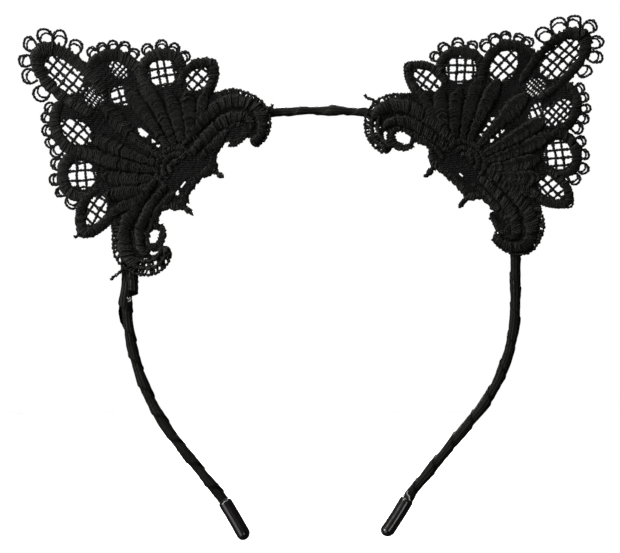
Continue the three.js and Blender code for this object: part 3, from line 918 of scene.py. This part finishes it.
class Material:
    """A procedural material, built up node by node."""

    def __init__(self, name, base, roughness, specular=0.5, metallic=0.0, tint=(1, 1, 1)):
        self.material = bpy.data.materials.new(name)
        self.material.use_nodes = True
        self.tree = self.material.node_tree
        self.shader = self.tree.nodes["Principled BSDF"]
        values = {"Base Color": (*base, 1), "Roughness": roughness, "Metallic": metallic,
                  "Specular IOR Level": specular, "Specular Tint": (*tint, 1)}
        for socket, value in values.items():
            self.shader.inputs[socket].default_value = value
        self.base = base
        self.relief = None

    def node(self, kind, **values):
        made = self.tree.nodes.new(kind)
        for key, value in values.items():
            made.inputs[key].default_value = value
        return made

    def link(self, a, b):
        self.tree.links.new(a, b)

    def place(self, kind, scale=(1, 1, 1)):
        coordinates = self.tree.nodes.new("ShaderNodeTexCoord")
        mapping = self.node("ShaderNodeMapping", Scale=scale)
        self.link(coordinates.outputs[kind], mapping.inputs["Vector"])
        return mapping.outputs["Vector"]

    def noise(self, scale, detail, stretch=(1, 1, 1)):
        noise = self.node("ShaderNodeTexNoise", Scale=scale, Detail=detail)
        self.link(self.place("Object", stretch), noise.inputs["Vector"])
        return noise.outputs["Fac"]

    def stripes(self, period, along, distortion, detail_scale=1.0):
        """Stripes across the surface coordinates, which are in millimetres."""
        wave = self.node("ShaderNodeTexWave", Scale=2 * math.pi / 20 / period, Distortion=distortion)
        wave.inputs["Detail Scale"].default_value = detail_scale
        wave.bands_direction = along
        self.link(self.place("UV"), wave.inputs["Vector"])
        return wave.outputs["Fac"]

    def colour_from(self, noise, darkest, lightest):
        """Varies the colour between two multiples of its base."""
        ramp = self.tree.nodes.new("ShaderNodeValToRGB")
        for end, position, share in zip(ramp.color_ramp.elements, (0.3, 0.7), (darkest, lightest)):
            end.position = position
            end.color = (*[channel * share for channel in self.base], 1)
        self.link(self.noise(*noise), ramp.inputs["Fac"])
        self.link(ramp.outputs["Color"], self.shader.inputs["Base Color"])

    def roughness_from(self, noise, low, high):
        span = self.node("ShaderNodeMapRange", **{"To Min": low, "To Max": high})
        self.link(self.noise(*noise), span.inputs["Value"])
        self.link(span.outputs["Result"], self.shader.inputs["Roughness"])

    def bump(self, factor, distance):
        """Adds relief in metres of height, on top of any before it."""
        bump = self.node("ShaderNodeBump", Strength=1.0, Distance=distance)
        self.link(factor, bump.inputs["Height"])
        if self.relief:
            self.link(self.relief, bump.inputs["Normal"])
        self.relief = bump.outputs["Normal"]
        self.link(self.relief, self.shader.inputs["Normal"])


def lace_material():
    """Black rayon embroidery thread: fine strands with a faint gleam, and a little lint."""
    lace = Material("guipure_thread", (0.0013, 0.0013, 0.0012), 0.4, specular=0.17, tint=(1, 1, 0.94))
    lace.colour_from((420, 4), 0.6, 1.7)
    lace.roughness_from((1500, 2), 0.3, 0.55)
    lace.bump(lace.stripes(0.3, "Y", 0.6), 0.00012)
    lace.bump(lace.noise(1400, 3), 0.0003)
    return lace.material


def net_material():
    """The same thread where it stands alone, twisted and less glossy."""
    thread = Material("net_thread", (0.0022, 0.0022, 0.0022), 0.5, specular=0.12)
    thread.colour_from((900, 3), 0.6, 1.6)
    thread.bump(thread.stripes(0.3, "DIAGONAL", 0.3), 0.00005)
    thread.bump(thread.noise(7000, 2), 0.00005)
    return thread.material


def ground_material():
    """Close ground stitching, less glossy than the satin stitch that covers it, and darker in colour as
    painted shade behind and between the leaves.
    """
    # The base colour, set below the satin stitch's, is painted shade: the same black thread, made darker
    # where it lies behind the leaves.
    ground = Material("ground_stitch_painted_shade", (0.0009, 0.0009, 0.0008), 0.5, specular=0.08)
    ground.colour_from((700, 4), 0.5, 1.5)
    ground.bump(ground.stripes(0.5, "DIAGONAL", 3.0, 2.0), 0.00016)
    ground.bump(ground.noise(1300, 3), 0.0004)
    return ground.material


def ribbon_material():
    """Black satin ribbon, with fine cross ribs and a soft sheen."""
    ribbon = Material("satin_ribbon", (0.003, 0.003, 0.0026), 0.42, specular=0.09, tint=(1, 1, 0.87))
    ribbon.colour_from((260, 3), 0.7, 1.5)
    ribbon.roughness_from((900, 2), 0.34, 0.52)
    ribbon.bump(ribbon.stripes(0.8, "Y", 0.4), 0.00012)
    ribbon.bump(ribbon.stripes(0.16, "X", 0.1), 0.00002)
    ribbon.bump(ribbon.noise(380, 3), 0.0002)
    return ribbon.material


def thread_material():
    """Black sewing thread, twisted."""
    thread = Material("sewing_thread", (0.004, 0.004, 0.004), 0.4, specular=0.22)
    thread.colour_from((1200, 2), 0.7, 1.5)
    thread.bump(thread.stripes(0.35, "DIAGONAL", 0.1), 0.00008)
    return thread.material


def plastic_material():
    """Glossy black moulded plastic, with a faint ripple and light scuffs."""
    plastic = Material("moulded_plastic", (0.0042, 0.0036, 0.0034), 0.14, specular=0.5)
    plastic.colour_from((300, 3), 0.8, 1.4)
    plastic.roughness_from((520, 5), 0.16, 0.3)
    plastic.bump(plastic.noise(240, 2), 0.00012)
    plastic.bump(plastic.noise(3200, 4), 0.00001)
    return plastic.material


def shaded_seam_glue_material():
    """The same dried glue as the pale run, coloured near-black as painted shade where it fills the shaded
    gap at a cap's mouth.
    """
    # The near-black base colour is painted shade: a shaded copy of the pale dried glue.
    seam = Material("seam_glue_painted_shade", (0.006, 0.006, 0.006), 0.3, specular=0.3)
    seam.colour_from((900, 3), 0.5, 1.5)
    seam.bump(seam.noise(1800, 3), 0.0001)
    return seam.material


def glue_material():
    """Dried clear glue, greyish where it catches the light."""
    glue = Material("dried_glue", (0.2, 0.2, 0.19), 0.35, specular=0.4)
    glue.colour_from((900, 3), 0.35, 1.5)
    glue.bump(glue.noise(1800, 3), 0.0001)
    return glue.material


def steel_material():
    """The sprung strip inside the winding: blued steel with a drawn grain along it."""
    steel = Material("spring_steel", (0.15, 0.155, 0.17), 0.32, metallic=1.0)
    steel.colour_from((900, 4, (0.15, 1, 1)), 0.7, 1.3)
    steel.roughness_from((1600, 3, (0.1, 1, 1)), 0.24, 0.45)
    steel.bump(steel.noise(2600, 3, stretch=(0.06, 1, 1)), 0.00002)
    return steel.material


def floor_material():
    """A matt, nearly even white."""
    floor = Material("pale_floor", (0.96, 0.96, 0.955), 0.8, specular=0.1)
    floor.colour_from((9, 3), 0.992, 1.0)
    return floor.material


# ---- the scene

def build_ear(name, lace, net_thread, ground):
    """The pieces of one lace ear, each built whole in the frame; none is set to bend where the blade
    leaves the part that is sewn down.
    """
    ear = Ear(name)
    start = tuple(ear.place(BEND_AT - BEND_REACH, 0, 0) * METRES)
    end = tuple(ear.place(BEND_AT + BEND_REACH, 0, 0) * METRES)
    pieces = {
        "ground": (ear_ground, ground),
        "petal_borders": (ear_borders, lace),
        "leaves": (ear_leaves, lace),
        "hub": (ear_hub, lace),
        "scrolls": (ear_scrolls, lace),
        "net": (ear_net, net_thread),
        "picots": (ear_picots, net_thread),
        "spurs": (ear_spurs, net_thread),
    }
    for kind, (build, material) in pieces.items():
        ear.lace = Shape()
        build(ear)
        piece = ear.lace.piece(f"{name}_ear_{kind}", material, "guipure_lace")
        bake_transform(piece)
        if kind == "ground":
            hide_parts(f"{name}_ear_lace_base", f"{name}_ear_lace_blade")


def show_steel(steel):
    """The cores keep their CAD shape and get their own steel."""
    for name, node in frame["nodes"].items():
        if name.endswith("_core"):
            node.data.materials.clear()
            node.data.materials.append(steel)


# The lights, as (kind, strength, width in metres or degrees, place in metres).
LIGHTS = {
    "Sky_light": ("SUN", 3.2, 50, (-0.1, -0.12, 1.0)),
    "Key_light": ("AREA", 11, 0.22, (-0.66, -0.46, 0.58)),
    "Side_light": ("AREA", 9, 0.3, (-0.95, -0.42, -0.02)),
    "Back_light": ("AREA", 20, 0.4, (-0.05, 0.95, 0.45)),
    "Low_light": ("AREA", 1.9, 0.32, (0.36, -0.95, -0.34)),
    "Table_light": ("AREA", 2.6, 0.6, (-0.6, -0.5, -0.5)),
}


def surround():
    """A white background, which adds only a faint even light to the object."""
    world = bpy.data.worlds.new("White_studio")
    world.use_nodes = True
    tree = world.node_tree
    seen = tree.nodes["Background"]
    seen.inputs["Color"].default_value = (1, 1, 1, 1)
    fill = tree.nodes.new("ShaderNodeBackground")
    fill.inputs["Color"].default_value = (1, 1, 1, 1)
    fill.inputs["Strength"].default_value = 0.05
    rays = tree.nodes.new("ShaderNodeLightPath")
    mix = tree.nodes.new("ShaderNodeMixShader")
    tree.links.new(rays.outputs["Is Camera Ray"], mix.inputs[0])
    tree.links.new(fill.outputs[0], mix.inputs[1])
    tree.links.new(seen.outputs[0], mix.inputs[2])
    tree.links.new(mix.outputs[0], tree.nodes["World Output"].inputs["Surface"])
    bpy.context.scene.world = world


def studio():
    """A white studio: a broad sun overhead, a key light and a side light from the left, one behind,
    and two weak ones low in front that pick out the caps."""
    bpy.context.scene.view_settings.view_transform = "Standard"
    surround()
    middle = Vector((0, 0, -0.05))
    for name, (kind, strength, width, place) in LIGHTS.items():
        light = bpy.data.lights.new(name, kind)
        light.energy = strength
        if kind == "SUN":
            light.angle = math.radians(width)
        else:
            light.size = width
        lamp = put(name, light)
        lamp.location = place
        lamp.rotation_euler = (middle - Vector(place)).to_track_quat("-Z", "Y").to_euler()


def floor(material):
    """A pale floor just under the caps. It bounces no light and casts no shadow, so that the low lights
    reach the object through it and black thread stays dark."""
    reach, below = 1.5, 0.0006
    height = CAD_BOX[0][2] - below
    corners = [(x * reach, y * reach, height) for x, y in ((-1, -1), (1, -1), (1, 1), (-1, 1))]
    mesh = bpy.data.meshes.new("Floor")
    mesh.from_pydata(corners, [], [range(4)])
    mesh.materials.append(material)
    piece = put("Floor", mesh)
    piece.visible_diffuse = False
    piece.visible_glossy = False
    piece.visible_shadow = False


def camera():
    """A long lens square to the front, framed a little left of and below the crown."""
    distance, seen_width, sensor = 1.6, 0.217, 36
    data = bpy.data.cameras.new("Camera")
    data.sensor_width = sensor
    data.lens = sensor * distance / seen_width
    data.clip_end = 20
    holder = put("Camera", data)
    holder.location = (-0.00385, -distance, -0.0568)
    holder.rotation_euler = (math.pi / 2, 0, 0)
    bpy.context.scene.camera = holder


camera()
studio()
floor(floor_material())
for ear_name in SIDES:
    build_ear(ear_name, lace_material(), net_material(), ground_material())
hoop_ribbons(ribbon_material())
lashings(thread_material())
end_caps(plastic_material())
glue_seams(shaded_seam_glue_material())
pale_glue(glue_material())
show_steel(steel_material())
